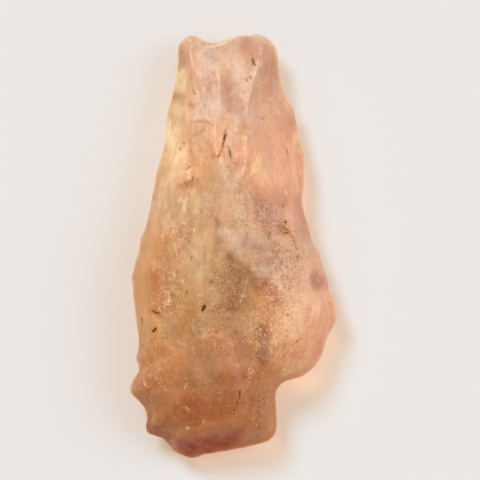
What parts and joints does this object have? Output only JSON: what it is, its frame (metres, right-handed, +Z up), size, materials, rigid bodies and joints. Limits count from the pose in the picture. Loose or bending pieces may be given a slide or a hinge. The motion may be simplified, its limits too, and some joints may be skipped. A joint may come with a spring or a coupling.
{
  "type": "raw desert glass",
  "caption": "Raw wind-worn piece of natural desert glass: long flat translucent stone, narrow at one end, with bevelled edges, ridges, shallow flake scars and a side lobe.",
  "frame": {"origin": "under the middle of the stone's box, on the surface that it rests on", "axes": "+Z up out of the broad upper face, +Y towards the narrow end, +X to the right seen from above with the narrow end away from the viewer, on the side lobe's side"},
  "size_m": [0.021, 0.0432, 0.0081],
  "materials": {
    "glass": "frosted, satin, honey to pinkish translucent natural glass"
  },
  "bodies": {
    "root": {"desert_glass": "glass"}
  },
  "joints": []
}
